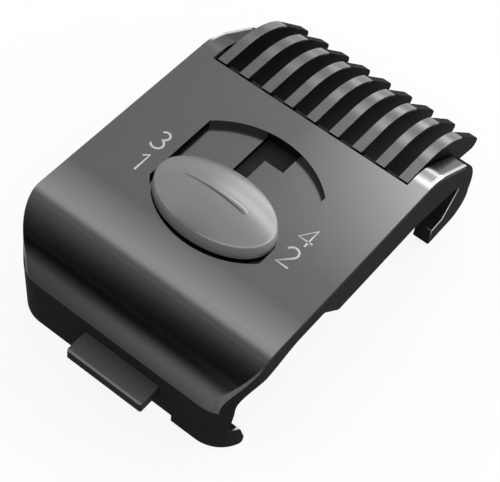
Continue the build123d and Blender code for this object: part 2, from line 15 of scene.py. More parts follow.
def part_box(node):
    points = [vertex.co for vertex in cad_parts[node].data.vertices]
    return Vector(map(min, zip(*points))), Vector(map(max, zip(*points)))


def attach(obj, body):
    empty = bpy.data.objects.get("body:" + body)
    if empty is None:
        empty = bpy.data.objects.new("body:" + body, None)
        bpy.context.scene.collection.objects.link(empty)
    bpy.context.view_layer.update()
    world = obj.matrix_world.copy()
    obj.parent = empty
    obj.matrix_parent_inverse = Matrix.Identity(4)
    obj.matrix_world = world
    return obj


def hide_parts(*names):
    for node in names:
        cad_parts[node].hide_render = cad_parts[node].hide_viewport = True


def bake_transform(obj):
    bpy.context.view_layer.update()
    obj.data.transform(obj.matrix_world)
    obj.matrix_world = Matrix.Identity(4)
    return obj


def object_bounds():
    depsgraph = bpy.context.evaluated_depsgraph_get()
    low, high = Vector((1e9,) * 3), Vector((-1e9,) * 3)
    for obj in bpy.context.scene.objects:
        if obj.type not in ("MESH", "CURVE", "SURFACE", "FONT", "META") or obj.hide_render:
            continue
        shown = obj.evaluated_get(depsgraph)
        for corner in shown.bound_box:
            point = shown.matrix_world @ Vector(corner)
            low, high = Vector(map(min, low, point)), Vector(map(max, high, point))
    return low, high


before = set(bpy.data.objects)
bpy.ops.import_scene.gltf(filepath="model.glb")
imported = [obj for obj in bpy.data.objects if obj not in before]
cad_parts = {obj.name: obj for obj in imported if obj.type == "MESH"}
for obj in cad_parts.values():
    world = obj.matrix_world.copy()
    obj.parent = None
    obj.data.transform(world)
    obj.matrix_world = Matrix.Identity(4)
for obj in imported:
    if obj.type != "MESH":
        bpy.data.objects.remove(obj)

cad_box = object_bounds()
MM = 0.001

# %% [markdown]
# ## Camera
# The guard is seen from behind and above, turned a little on the table. A long lens
# keeps its lines nearly parallel, as in a catalogue picture. The camera is aimed at a
# point on the flat of the cover, and then rolled about its own axis.

# %% Camera
camera_azimuth = radians(28.95)
camera_elevation = radians(53.1)
camera_roll = radians(10.9)
camera_distance = 217.7 * MM
camera_lens = 107.8

flat_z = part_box("top_cover")[1][2]
aim = Vector((7.6 * MM, -13.3 * MM, flat_z))
direction = Vector((
    cos(camera_elevation) * sin(camera_azimuth),
    -cos(camera_elevation) * cos(camera_azimuth),
    sin(camera_elevation),
))
camera = bpy.data.objects.new("camera", bpy.data.cameras.new("camera"))
camera.data.lens = camera_lens
camera.data.clip_start = 10 * MM
turn = direction.to_track_quat("Z", "Y").to_matrix().to_4x4()
place = aim + direction * camera_distance
camera.matrix_world = Matrix.Translation(place) @ turn @ Matrix.Rotation(camera_roll, 4, "Z")
bpy.context.collection.objects.link(camera)
bpy.context.scene.camera = camera
print("camera at", [round(v / MM, 1) for v in place], "mm")

# %% [markdown]
# ## Shader arithmetic
# A finish is easier to read as a formula than as a web of nodes. This small class wraps
# one socket, so that `1 - mask * 0.5` adds the Math nodes that work it out. Every other
# kind of node comes from one method, `node`, which sets the node up before it is linked.

# %% Shader arithmetic
class Signal:
    """A socket of a shader tree that can be used in arithmetic."""

    def __init__(self, tree, socket=None):
        self.tree = tree
        self.socket = socket

    def node(self, kind, settings=None, inputs=None, output=0):
        """Add a node, set it up, link or set its inputs, and wrap one of its outputs."""
        made = self.tree.nodes.new(kind)
        for name, value in (settings or {}).items():
            if name == "stops":
                stops = made.color_ramp.elements
                stops.remove(stops[1])
                stops[0].position, stops[0].color = value[0][0], (*value[0][1], 1)
                for position, colour in value[1:]:
                    stops.new(position).color = (*colour, 1)
            else:
                setattr(made, name, value)
        for name, value in (inputs or {}).items():
            if isinstance(value, Signal):
                self.tree.links.new(value.socket, made.inputs[name])
            else:
                made.inputs[name].default_value = value
        return Signal(self.tree, made.outputs[output] if made.outputs else None)

    def maths(self, operation, *values):
        """Add a Math node on signals or numbers."""
        return self.node("ShaderNodeMath", {"operation": operation}, dict(enumerate(values)))

    def __add__(self, other):
        return self.maths("ADD", self, other)

    def __sub__(self, other):
        return self.maths("SUBTRACT", self, other)

    def __rsub__(self, other):
        return self.maths("SUBTRACT", other, self)

    def __mul__(self, other):
        return self.maths("MULTIPLY", self, other)

    __radd__ = __add__
    __rmul__ = __mul__

    def mix(self, low, high):
        """A colour between two colours, with this signal as the share of the second."""
        low, high = (end if isinstance(end, Signal) else (*end, 1) for end in (low, high))
        inputs = {0: self, 6: low, 7: high}
        return self.node("ShaderNodeMix", {"data_type": "RGBA"}, inputs, output=2)


# %% [markdown]
# ## Finishes
# Every finish starts from the same place: where a point lies on the piece, in metres.
# Two sizes of noise over that place, one fine and one cloudy, break up the colour and the
# gloss, as moulding, spraying and handling do, and a very low relief catches the light.

# %% A finish with grain
cloud_size = 14
fine_share = 0.6


def grain(place, size, detail=2.0, roughness=0.5):
    """Noise from 0 to 1 whose lumps are about this size."""
    inputs = {"Vector": place, "Scale": 1 / size, "Detail": detail, "Roughness": roughness}
    return place.node("ShaderNodeTexNoise", {}, inputs)


def bare_material(name):
    """A material with an empty node tree, and a signal to start from."""
    material = bpy.data.materials.new(name)
    material.use_nodes = True
    material.node_tree.nodes.clear()
    return material, Signal(material.node_tree)


def finish(name, colours, rough, metallic, lumps, relief, shine=0.5, edge=1.0, painted_light=None):
    """A finish: two colours, two roughnesses, the size of its lumps and their height."""
    material, start = bare_material(name)
    place = start.node("ShaderNodeTexCoord", output="Object")
    fine = grain(place, lumps)
    cloud = grain(place, lumps * cloud_size)
    blend = fine * fine_share + cloud * (1 - fine_share)
    colour = blend.mix(*colours)
    # Painted light and shade, where a function for it is given, goes over the grain's colour
    if painted_light:
        colour = painted_light(place, colour)
    roughness = blend * (rough[1] - rough[0]) + rough[0]
    bump = start.node(
        "ShaderNodeBump", {}, {"Strength": 1.0, "Distance": relief, "Height": fine}
    )
    surface = start.node("ShaderNodeBsdfPrincipled", {}, {
        "Base Color": colour,
        "Roughness": roughness,
        "Metallic": metallic,
        "Specular IOR Level": shine,
        "Specular Tint": (*grey(edge), 1),
        "Normal": bump,
    })
    start.node("ShaderNodeOutputMaterial", {}, {"Surface": surface})
    return material


def grey(level, warmth=0.0):
    """A linear grey, a little warmer or cooler."""
    return (level * (1 + warmth), level, level * (1 - warmth))


def slope(signal, start, end):
    """A share that goes from 0 where the signal is at the start to 1 at the end."""
    return signal.node(
        "ShaderNodeMapRange", {}, {"Value": signal, "From Min": start, "From Max": end}
    )


def parts_of(vector):
    """The three parts of a vector: across, along and up."""
    split = vector.node("ShaderNodeSeparateXYZ", {}, {0: vector})
    return tuple(Signal(vector.tree, socket) for socket in split.socket.node.outputs)


def facing(place):
    """Which way the surface faces."""
    return place.node("ShaderNodeNewGeometry", output="Normal")


print("noise: fine share", fine_share, "and clouds", cloud_size, "times as large")

# %% [markdown]
# ## Painted light
# Some light and shade is painted into base colours: painted highlights at the cover's rear
# crease, its right ear and the ears' outer rims, painted shade on the cover's sideways
# faces, painted light on the tab's top and rim and on the knob's band, and thin painted
# highlights on the hooks' edges. They could be painted on an image. Here each is worked
# out from where a point lies and which way its surface faces, so it stays on its edge and
# needs no unwrapping.

# %% Painted light on the cover
crease_y = min(
    corner.co.y
    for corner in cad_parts["top_cover"].data.vertices
    if flat_z - corner.co.z < 0.001 * MM
)
cover_side = cad_box[1][0]
highlight_reach = 6.6 * MM
highlight_end = 1.5 * MM
corner_reach = 12 * MM
ear_rim = 0.7 * MM
ear_start = 14.8 * MM
# Tones of the painted highlights at the crease, right ear and ear rims, and of the painted shade
crease_highlight_tone, right_highlight_tone, rim_highlight_tone, side_shade_tone = (
    grey(level) for level in (0.26, 0.29, 0.95, 0.035)
)


def painted_cover_light_and_shade(place, colour):
    """Painted highlights at the rear crease, right ear and ear rims; painted shade on side
    faces.
    """
    across, along, _ = parts_of(place)
    aside, _, _ = parts_of(facing(place))
    # Painted highlight: lighter just before the crease and towards the right ear
    before = slope(along, crease_y + highlight_reach, crease_y)
    after = slope(along, crease_y - highlight_end, crease_y - highlight_end / 2)
    corner = slope(across, 0.0, cover_side) * slope(along, -corner_reach, corner_reach)
    lit_crease_and_side = corner.mix((before * after).mix(colour, crease_highlight_tone), right_highlight_tone)
    outermost = slope(
        across * across, (cover_side - ear_rim) ** 2, (cover_side - ear_rim / 2) ** 2
    )
    rim = outermost * slope(along, ear_start - ear_rim, ear_start + ear_rim)
    # Painted shade: faces that point sideways are darkened
    sideways_share = slope(aside * aside, 0.90, 0.99)
    return sideways_share.mix(rim.mix(lit_crease_and_side, rim_highlight_tone), side_shade_tone)


print("crease at y", round(crease_y / MM, 2), "mm")

# %% Painted light on the tab and the knob
tab_low, tab_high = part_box("thumb_tab")
tab_rim = 0.5 * MM
# Tones of the painted light on the tab's top and rim and on the knob's band
tab_lit_inner_tone, tab_lit_outer_tone, tab_rim_highlight_tone, band_lit_tone = (
    grey(level) for level in (0.045, 0.10, 0.24, 0.55)
)


def painted_tab_light(place, colour):
    """Painted light: the tab's upper face is lighter, and its outer rim lightest."""
    _, along, _ = parts_of(place)
    _, _, upwards = parts_of(facing(place))
    outwards = slope(along, tab_high[1], tab_low[1])
    rim = slope(along, tab_low[1] + tab_rim, tab_low[1] + tab_rim / 3)
    top = rim.mix(outwards.mix(tab_lit_inner_tone, tab_lit_outer_tone), tab_rim_highlight_tone)
    # Painted light on faces that point up
    return slope(upwards, 0.3, 0.9).mix(colour, top)


def painted_band_light(place, colour):
    """Painted light: the knob's upright band is lighter than its crown."""
    _, _, upwards = parts_of(facing(place))
    # Painted light on faces that stand up steeply
    return slope(upwards, 0.70, 0.35).mix(colour, band_lit_tone)


print("tab reaches", round((tab_high[1] - tab_low[1]) / MM, 2), "mm out")

# %% Painted highlights on the hooks
hook_top = 12.0 * MM
hook_reach = 19.0 * MM
toe_tip = 20.3 * MM
toe_fade = 0.25 * MM
hook_fade = 1.0 * MM
# Painted highlights fall on edges that face this way
highlight_side = Vector((0.6, -0.5, 0.6)).normalized()
edge_highlight_tone, toe_highlight_tone = grey(0.60), grey(0.70)


def painted_edge_highlights(place, colour):
    """Painted highlights on the hooks' edges that face back, up and right, and on the toes."""
    normal = facing(place)
    towards = normal.node(
        "ShaderNodeVectorMath", {"operation": "DOT_PRODUCT"}, {0: normal, 1: highlight_side},
        output="Value",
    )
    across, along, height = parts_of(place)
    _, _, upwards = parts_of(normal)
    ends = slope(along * along, hook_reach**2, (hook_reach + hook_fade) ** 2)
    low = slope(height, hook_top, hook_top - hook_fade)
    # Painted highlight on the hooks' edges that face the given way
    highlighted = (slope(towards, 0.80, 0.88) * ends * low).mix(colour, edge_highlight_tone)
    tip = slope(across * across, toe_tip**2, (toe_tip + toe_fade) ** 2)
    rear = slope(along, -hook_reach, -hook_reach - hook_fade)
    # Painted highlight on the upper faces at the rear toes' tips
    return (tip * rear * low * slope(upwards, 0.5, 0.9)).mix(highlighted, toe_highlight_tone)


print("rubbed edges face", [round(part, 2) for part in highlight_side])

# %% [markdown]
# ## The guard's finishes
# The cover and the strips are satin metal, and the knob is painted like metal. The
# mouldings are black plastics with hardly any shine. One plain colour each would do, but a
# small spread of colour and gloss keeps a surface from looking flat. A finish is a pair of
# colours, a pair of roughnesses and the grain's size and height.

# %% Metals
# The cover and the knob carry painted light in their base colours
cover_metal = finish(
    "cover_metal", (grey(0.120, -0.01), grey(0.136, -0.01)), rough=(0.17, 0.21),
    metallic=1.0, lumps=0.22 * MM, relief=0.0006 * MM, edge=0.4, painted_light=painted_cover_light_and_shade,
)
knob_metal = finish(
    "knob_metal", (grey(0.215), grey(0.245)), rough=(0.34, 0.42),
    metallic=0.72, lumps=0.18 * MM, relief=0.0015 * MM, painted_light=painted_band_light,
)
rib_metal = finish(
    "rib_metal", (grey(0.24), grey(0.28)), rough=(0.26, 0.34),
    metallic=0.85, lumps=0.18 * MM, relief=0.0010 * MM,
)
knob_base_metal = finish(
    "knob_base_metal", (grey(0.20), grey(0.24)), rough=(0.34, 0.44),
    metallic=0.4, lumps=0.18 * MM, relief=0.0020 * MM,
)
strip_metal = finish(
    "strip_metal", (grey(0.088), grey(0.145)), rough=(0.19, 0.29),
    metallic=1.0, lumps=0.13 * MM, relief=0.0024 * MM,
)
steel = finish(
    "bright_steel", (grey(0.50), grey(0.60)), rough=(0.20, 0.32),
    metallic=1.0, lumps=0.10 * MM, relief=0.0015 * MM,
)
print("metals:", len(bpy.data.materials))

# %% Plastics and paint
# The chassis and the tab carry painted highlights in their base colours
chassis_plastic = finish(
    "chassis_plastic", (grey(0.011), grey(0.015)), rough=(0.50, 0.60),
    metallic=0.0, lumps=0.16 * MM, relief=0.0060 * MM, shine=0.005, painted_light=painted_edge_highlights,
)
tooth_plastic = finish(
    "tooth_plastic", (grey(0.0022), grey(0.0040)), rough=(0.42, 0.52),
    metallic=0.0, lumps=0.14 * MM, relief=0.0040 * MM, shine=0.008,
)
slider_plastic = finish(
    "slider_plastic", (grey(0.028), grey(0.038)), rough=(0.46, 0.56),
    metallic=0.0, lumps=0.16 * MM, relief=0.0060 * MM, shine=0.03,
)
tab_plastic = finish(
    "tab_plastic", (grey(0.014), grey(0.018)), rough=(0.42, 0.52),
    metallic=0.0, lumps=0.16 * MM, relief=0.0050 * MM, shine=0.02, painted_light=painted_tab_light,
)
digit_paint = finish(
    "digit_paint", (grey(0.46), grey(0.54)), rough=(0.45, 0.55),
    metallic=0.0, lumps=0.10 * MM, relief=0.0010 * MM, shine=0.1,
)
print("finishes:", len(bpy.data.materials))

# %% [markdown]
# ## Rounded edges
# No moulded or pressed edge is perfectly sharp: it is the thin rounded edge that catches
# a line of light. The solid model has sharp edges, so each visible piece is a copy of
# its solid with the triangles merged back into faces and a fine bevel on the edges.

# %% A piece with rounded edges
merge_distance = 0.002 * MM
face_angle = radians(0.6)
edge_angle = radians(28)
seam_reach = 0.004 * MM
bevel_segments = 3
wall_low, wall_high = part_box("rear_wall")
rail_low, rail_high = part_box("side_rail_left")
# Where the chassis's solids meet inside one moulding: (axis, coordinate)
chassis_seams = ((0, wall_low[0]), (0, wall_high[0]), (1, rail_low[1]), (1, rail_high[1]))


def merged_copy(node):
    """A mesh with the solid's shape, its triangles joined into flat faces."""
    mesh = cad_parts[node].data.copy()
    shape = bmesh.new()
    shape.from_mesh(mesh)
    bmesh.ops.remove_doubles(shape, verts=shape.verts, dist=merge_distance)
    bmesh.ops.dissolve_limit(
        shape, angle_limit=face_angle, verts=shape.verts, edges=shape.edges
    )
    shape.to_mesh(mesh)
    shape.free()
    return mesh


def add_piece(name, mesh, material):
    """Put a mesh in the scene as a piece with one finish and smooth shading."""
    piece = bpy.data.objects.new(name, mesh)
    bpy.context.collection.objects.link(piece)
    mesh.materials.clear()
    mesh.materials.append(material)
    for face in mesh.polygons:
        face.use_smooth = True
    return piece


def round_edges(piece, width, seams=(), recess=None):
    """Bevel the sharp outer edges, but not a moulding's seams or those down in a recess."""
    shape = bmesh.new()
    shape.from_mesh(piece.data)
    weights = shape.edges.layers.float.new("bevel_weight_edge")
    for edge in shape.edges:
        on_seam = any(
            all(abs(corner.co[axis] - at) < seam_reach for corner in edge.verts)
            for axis, at in seams
        )
        in_recess = recess and all(
            (corner.co.xy - recess[0]).length < recess[1] and flat_z - corner.co.z > seam_reach
            for corner in edge.verts
        )
        sharp = edge.calc_face_angle(0) > edge_angle
        rounded = sharp and edge.is_convex and not on_seam and not in_recess
        edge.smooth = not on_seam and (rounded or not sharp)
        if rounded:
            edge[weights] = 1.0
    for face in shape.faces:
        middle = face.calc_center_median()
        if recess and (middle.xy - recess[0]).length < recess[1]:
            face.smooth = flat_z - middle.z < seam_reach
    shape.to_mesh(piece.data)
    shape.free()
    bevel = piece.modifiers.new("Rounded edges", "BEVEL")
    bevel.width = width
    bevel.segments = bevel_segments
    bevel.limit_method = "WEIGHT"
    bevel.use_clamp_overlap = True
    even = piece.modifiers.new("Even shading", "WEIGHTED_NORMAL")
    even.weight = 100
    even.keep_sharp = True


def rounded_node(node, name, body, material, width, seams=(), recess=None):
    """The solid's shape with rounded edges, standing for the solid."""
    piece = add_piece(name, merged_copy(node), material)
    round_edges(piece, width, seams, recess)
    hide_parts(node)
    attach(piece, body)
    print(name, "faces:", len(piece.data.polygons))
    return piece


# %% [markdown]
# ## Cover
# One pressed sheet: a flat top that rolls down at the rear and over the two front ears,
# with a dished recess for the knob and a keyhole slot in the recess's floor. It could be
# drawn again as a subdivided surface, but the solid already holds its curves in fine
# steps, so a bevelled copy is enough. Down in the recess the edges stay sharp and the
# faces flat, because smooth shading would smear light along its low walls.

# %% Cover
cap_low, cap_high = (Vector(corner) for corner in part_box("knob_cap"))
knob_centre = (cap_low + cap_high) / 2
recess_reach = 16 * MM
rounded_node(
    "top_cover", "cover", "guard", cover_metal, width=0.10 * MM,
    recess=(knob_centre.xy, recess_reach),
)

# %% [markdown]
# ## Chassis
# The black moulding under the cover: two side rails, four hooks that grip the clipper's
# head, the rear wall, and a thumb tab to lift the guard off. The real one is a single
# moulding. Its solids could be joined into one mesh, but they are the parts that a reader
# may want to change, so each stays a piece, and edges where two of them meet stay unrounded
# to hide the seam.

# %% Chassis
chassis_round = 0.16 * MM
for side in ("left", "right"):
    for part in ("side_rail", "front_hook", "rear_hook"):
        rounded_node(
            f"{part}_{side}", f"{part}_{side}_rounded", "guard",
            chassis_plastic, width=chassis_round, seams=chassis_seams,
        )
rounded_node(
    "rear_wall", "rear_wall_rounded", "guard", chassis_plastic,
    width=chassis_round, seams=chassis_seams,
)
tab = rounded_node(
    "thumb_tab", "thumb_tab_rounded", "guard", tab_plastic, width=0.12 * MM
)
# The cover's roll would mirror the tab as a hard dark block, so mirrors leave it out
tab.visible_glossy = False

# %% [markdown]
# ## Comb
# Nine teeth that differ only in their place across the comb, so one tooth is rounded and
# Geometry Nodes lines up its copies. The number and the pitch are named inputs.

# %% A row of copies
def row_tree(name):
    """A node tree that lines up copies of a mesh along X."""
    tree = bpy.data.node_groups.new(name, "GeometryNodeTree")
    sockets = {}
    for label, kind in (
        ("Geometry", "NodeSocketGeometry"), ("Count", "NodeSocketInt"),
        ("Pitch", "NodeSocketFloat"), ("Finish", "NodeSocketMaterial"),
    ):
        sockets[label] = tree.interface.new_socket(label, in_out="INPUT", socket_type=kind)
    tree.interface.new_socket("Geometry", in_out="OUTPUT", socket_type="NodeSocketGeometry")
    start = tree.nodes.new("NodeGroupInput")
    end = tree.nodes.new("NodeGroupOutput")
    link = tree.links.new

    def maths(operation, first, second):
        """A Math node on two links or numbers."""
        node = tree.nodes.new("ShaderNodeMath")
        node.operation = operation
        for socket, value in zip(node.inputs, (first, second)):
            if isinstance(value, (int, float)):
                socket.default_value = value
            else:
                link(value, socket)
        return node.outputs[0]

    line = tree.nodes.new("GeometryNodeMeshLine")
    link(start.outputs["Count"], line.inputs["Count"])
    gaps = maths("SUBTRACT", start.outputs["Count"], 1)
    reach = maths("MULTIPLY", gaps, start.outputs["Pitch"])
    first_place = tree.nodes.new("ShaderNodeCombineXYZ")
    link(maths("MULTIPLY", reach, -0.5), first_place.inputs["X"])
    step = tree.nodes.new("ShaderNodeCombineXYZ")
    link(start.outputs["Pitch"], step.inputs["X"])
    link(first_place.outputs[0], line.inputs["Start Location"])
    link(step.outputs[0], line.inputs["Offset"])
    copies = tree.nodes.new("GeometryNodeInstanceOnPoints")
    link(line.outputs[0], copies.inputs["Points"])
    link(start.outputs["Geometry"], copies.inputs["Instance"])
    real = tree.nodes.new("GeometryNodeRealizeInstances")
    link(copies.outputs[0], real.inputs[0])
    paint = tree.nodes.new("GeometryNodeSetMaterial")
    link(real.outputs[0], paint.inputs["Geometry"])
    link(start.outputs["Finish"], paint.inputs["Material"])
    link(paint.outputs[0], end.inputs[0])
    return tree, {label: socket.identifier for label, socket in sockets.items()}


row, row_inputs = row_tree("row_of_copies")


def row_of(piece, count, pitch, material):
    """Replace a piece's mesh with a row of its copies, as a plain mesh."""
    copies = piece.modifiers.new("Row", "NODES")
    copies.node_group = row
    copies[row_inputs["Count"]] = count
    copies[row_inputs["Pitch"]] = pitch
    copies[row_inputs["Finish"]] = material
    evaluated = piece.evaluated_get(bpy.context.evaluated_depsgraph_get())
    mesh = bpy.data.meshes.new_from_object(evaluated)
    for modifier in list(piece.modifiers):
        piece.modifiers.remove(modifier)
    piece.data = mesh


print("row inputs:", ", ".join(row_inputs))

# %% The comb's teeth and their metal strips
tooth_count = 9
middle_tooth = (tooth_count + 1) // 2
first_low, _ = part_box("comb_tooth_1")
last_low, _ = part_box(f"comb_tooth_{tooth_count}")
tooth_pitch = (last_low[0] - first_low[0]) / (tooth_count - 1)

for part, name, slot, material, width in (
    ("comb_tooth", "comb_teeth", "tooth_black", tooth_plastic, 0.14 * MM),
    ("tooth_strip", "tooth_strips", "strip_metal", strip_metal, 0.05 * MM),
):
    piece = add_piece(name, merged_copy(f"{part}_{middle_tooth}"), material)
    round_edges(piece, width)
    row_of(piece, tooth_count, tooth_pitch, material)
    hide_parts(*(f"{part}_{number}" for number in range(1, tooth_count + 1)))
    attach(piece, "slider")
    print(name, "faces:", len(piece.data.polygons))

rounded_node(
    "comb_bridge", "comb_bridge_rounded", "slider", slider_plastic, width=0.10 * MM
)

# %% [markdown]
# ## Knob
# The cap is a low dome over an upright oval band. Rings of points on ovals of falling
# size give it smooth, even faces, which a bevel could not do as well.

# %% Knob cap
half_length = (cap_high.x - cap_low.x) / 2
half_width = (cap_high.y - cap_low.y) / 2
band_height = 2.3 * MM
band_draft = 0.2 * MM
dome_height = 2.4 * MM
shoulder_round = 0.7 * MM
shoulder_turn = radians(60)
band_steps = 4
shoulder_steps = 10
crown_steps = 40
seam_step = 0.08 * MM
rib_rise = cap_high.z - cap_low.z - band_height - dome_height
crown_length = half_length - band_draft
ball_radius = (crown_length**2 + dome_height**2) / (2 * dome_height)


def dome_at(share):
    """Height of the crown above the band, from 0 at its middle to 1 at its edge."""
    return sqrt(ball_radius**2 - (share * crown_length) ** 2) - ball_radius + dome_height


def cap_profile():
    """(length, width, height) of each ring: the oval's half sizes and its height."""
    crown_inset = band_draft + shoulder_round * (1 - cos(shoulder_turn))
    crown_edge = band_height + dome_at((half_length - crown_inset) / crown_length)
    round_centre = crown_edge - shoulder_round * sin(shoulder_turn)
    rings = [(half_length - seam_step, half_width - seam_step, 0.0)]
    for step in range(band_steps + 1):
        share = step / band_steps
        lean = band_draft * share
        rings.append((
            half_length - lean, half_width - lean, seam_step + (round_centre - seam_step) * share
        ))
    for step in range(1, shoulder_steps + 1):
        angle = shoulder_turn * step / shoulder_steps
        inset = band_draft + shoulder_round * (1 - cos(angle))
        height = round_centre + shoulder_round * sin(angle)
        rings.append((half_length - inset, half_width - inset, height))
    for step in range(1, crown_steps):
        share = 1 - step / crown_steps
        length = (half_length - crown_inset) * share
        width = (half_width - crown_inset) * share
        rings.append((length, width, band_height + dome_at(length / crown_length)))
    return rings


def oval_rings(rings, base_z, sides=128):
    """A mesh of oval rings, closed underneath and at the top."""
    shape = bmesh.new()
    loops = [
        [
            shape.verts.new((
                knob_centre.x + length * cos(2 * pi * side / sides),
                knob_centre.y + width * sin(2 * pi * side / sides),
                base_z + height,
            ))
            for side in range(sides)
        ]
        for length, width, height in rings
    ]
    top = shape.verts.new((knob_centre.x, knob_centre.y, base_z + band_height + dome_height))
    for side in range(sides):
        following = (side + 1) % sides
        for lower, upper in zip(loops, loops[1:]):
            shape.faces.new((lower[side], lower[following], upper[following], upper[side]))
        shape.faces.new((loops[-1][side], loops[-1][following], top))
    shape.faces.new(list(reversed(loops[0])))
    mesh = bpy.data.meshes.new("knob_cap_oval")
    shape.to_mesh(mesh)
    shape.free()
    return mesh


cap = add_piece("knob_cap_domed", oval_rings(cap_profile(), cap_low.z), knob_metal)
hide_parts("knob_cap")
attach(cap, "knob")
print("knob cap faces:", len(cap.data.polygons))
rounded_node(
    "knob_base", "knob_base_rounded", "knob", knob_base_metal, width=0.08 * MM
)

# %% [markdown]
# ## Pointer rib
# A slim bar that follows the crown, thickest at the end that points to the numbers.
# Half-round sections are set along the crown's own curve.

# %% Pointer rib
rib_start = knob_centre.x - 6.1 * MM
rib_end = knob_centre.x + 5.7 * MM
rib_half_width = 0.52 * MM
rib_sink = 0.12 * MM
rib_point = 0.01 * MM
# Shares of the full size: at the thin end, and of the height where an end begins
thin_end, end_rise = 0.6, 0.35


def rib_mesh(sections=64, sides=12):
    """A closed bar of half-round sections that follows the crown."""
    shape = bmesh.new()
    rows = []
    for section in range(sections + 1):
        along = section / sections
        x = rib_start + (rib_end - rib_start) * along
        from_end = min(along, 1 - along) * (rib_end - rib_start)
        swell = sqrt(max(0.0, 1 - max(0.0, 1 - from_end / rib_half_width) ** 2))
        fullness = thin_end + (1 - thin_end) * along
        half = max(rib_half_width * swell * fullness, rib_point)
        crown = cap_low.z + band_height + dome_at(abs(x - knob_centre.x) / crown_length)
        rise = rib_rise * (end_rise + (1 - end_rise) * swell) * fullness
        rows.append([
            shape.verts.new((
                x,
                knob_centre.y + half * cos(pi * side / sides),
                crown - rib_sink + (rise + rib_sink) * sin(pi * side / sides) * swell,
            ))
            for side in range(sides + 1)
        ])
    for row_a, row_b in zip(rows, rows[1:]):
        for side in range(sides):
            shape.faces.new((row_a[side], row_a[side + 1], row_b[side + 1], row_b[side]))
        shape.faces.new((row_a[sides], row_a[0], row_b[0], row_b[sides]))
    shape.faces.new(list(reversed(rows[0])))
    shape.faces.new(rows[-1])
    bmesh.ops.recalc_face_normals(shape, faces=shape.faces)
    mesh = bpy.data.meshes.new("pointer_rib")
    shape.to_mesh(mesh)
    shape.free()
    return mesh


rib = add_piece("pointer_rib", rib_mesh(), rib_metal)
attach(rib, "knob")
print("pointer rib faces:", len(rib.data.polygons))

# %% [markdown]
# ## Setting numbers
# Thin numbers, printed on the flat beside the knob. Each is one pen stroke, and Geometry
# Nodes sweep a flat nib along it. A number stands a hair's breadth proud of the cover.

# %% The nib
def nib_tree(name):
    """A node tree that sweeps a flat nib along a curve."""
    tree = bpy.data.node_groups.new(name, "GeometryNodeTree")
    sockets = {}
    for label, kind in (
        ("Geometry", "NodeSocketGeometry"), ("Width", "NodeSocketFloat"),
        ("Depth", "NodeSocketFloat"), ("Finish", "NodeSocketMaterial"),
    ):
        sockets[label] = tree.interface.new_socket(label, in_out="INPUT", socket_type=kind)
    tree.interface.new_socket("Geometry", in_out="OUTPUT", socket_type="NodeSocketGeometry")
    start = tree.nodes.new("NodeGroupInput")
    end = tree.nodes.new("NodeGroupOutput")
    level = tree.nodes.new("GeometryNodeSetCurveNormal")
    level.mode = "Z_UP"
    nib = tree.nodes.new("GeometryNodeCurvePrimitiveQuadrilateral")
    sweep = tree.nodes.new("GeometryNodeCurveToMesh")
    sweep.inputs["Fill Caps"].default_value = True
    real = tree.nodes.new("GeometryNodeRealizeInstances")
    paint = tree.nodes.new("GeometryNodeSetMaterial")
    for source, target in (
        (start.outputs["Geometry"], level.inputs["Curve"]),
        (start.outputs["Width"], nib.inputs["Width"]),
        (start.outputs["Depth"], nib.inputs["Height"]),
        (level.outputs[0], sweep.inputs["Curve"]),
        (nib.outputs[0], sweep.inputs["Profile Curve"]),
        (sweep.outputs[0], real.inputs[0]),
        (real.outputs[0], paint.inputs["Geometry"]),
        (start.outputs["Finish"], paint.inputs["Material"]),
        (paint.outputs[0], end.inputs[0]),
    ):
        tree.links.new(source, target)
    return tree, {label: socket.identifier for label, socket in sockets.items()}


nib, nib_inputs = nib_tree("flat_nib")
print("nib inputs:", ", ".join(nib_inputs))

# %% Setting numbers
digit_height = 3.7 * MM
nib_width = 0.36 * MM
digit_rise = 0.012 * MM
digit_depth = 0.03 * MM


def bow(centre, across, up, first, last, steps=20):
    """Points of an oval bow, from one angle to another, in degrees."""
    return [
        (centre[0] + across * cos(radians(a)), centre[1] + up * sin(radians(a)))
        for a in (first + (last - first) * step / steps for step in range(steps + 1))
    ]


# Strokes in shares of the number's height, and the place of its middle from the knob's
numbers = {
    "1": ([[(-0.22, 0.30), (0.0, 0.5), (0.0, -0.5)]], (-13.4 * MM, -0.6 * MM)),
    "2": (
        [bow((0.0, 0.23), 0.27, 0.27, 165, -40) + [(-0.29, -0.5), (0.31, -0.5)]],
        (13.5 * MM, 0.45 * MM),
    ),
    "3": (
        [bow((-0.02, 0.28), 0.21, 0.22, 150, -80) + bow((-0.03, -0.23), 0.28, 0.27, 75, -150)],
        (-14.0 * MM, 4.6 * MM),
    ),
    "4": ([[(0.14, -0.5), (0.14, 0.5), (-0.34, -0.22), (0.34, -0.22)]], (13.6 * MM, 5.2 * MM)),
}


def stroke_curve(name, strokes, place):
    """A number's pen strokes as straight-run curves on the flat."""
    curve = bpy.data.curves.new(name, "CURVE")
    curve.dimensions = "3D"
    for stroke in strokes:
        line = curve.splines.new("POLY")
        line.points.add(len(stroke) - 1)
        for point, (across, up) in zip(line.points, stroke):
            point.co = (
                knob_centre.x + place[0] + across * digit_height,
                knob_centre.y + place[1] + up * digit_height,
                flat_z + digit_rise - digit_depth / 2,
                1,
            )
    return curve


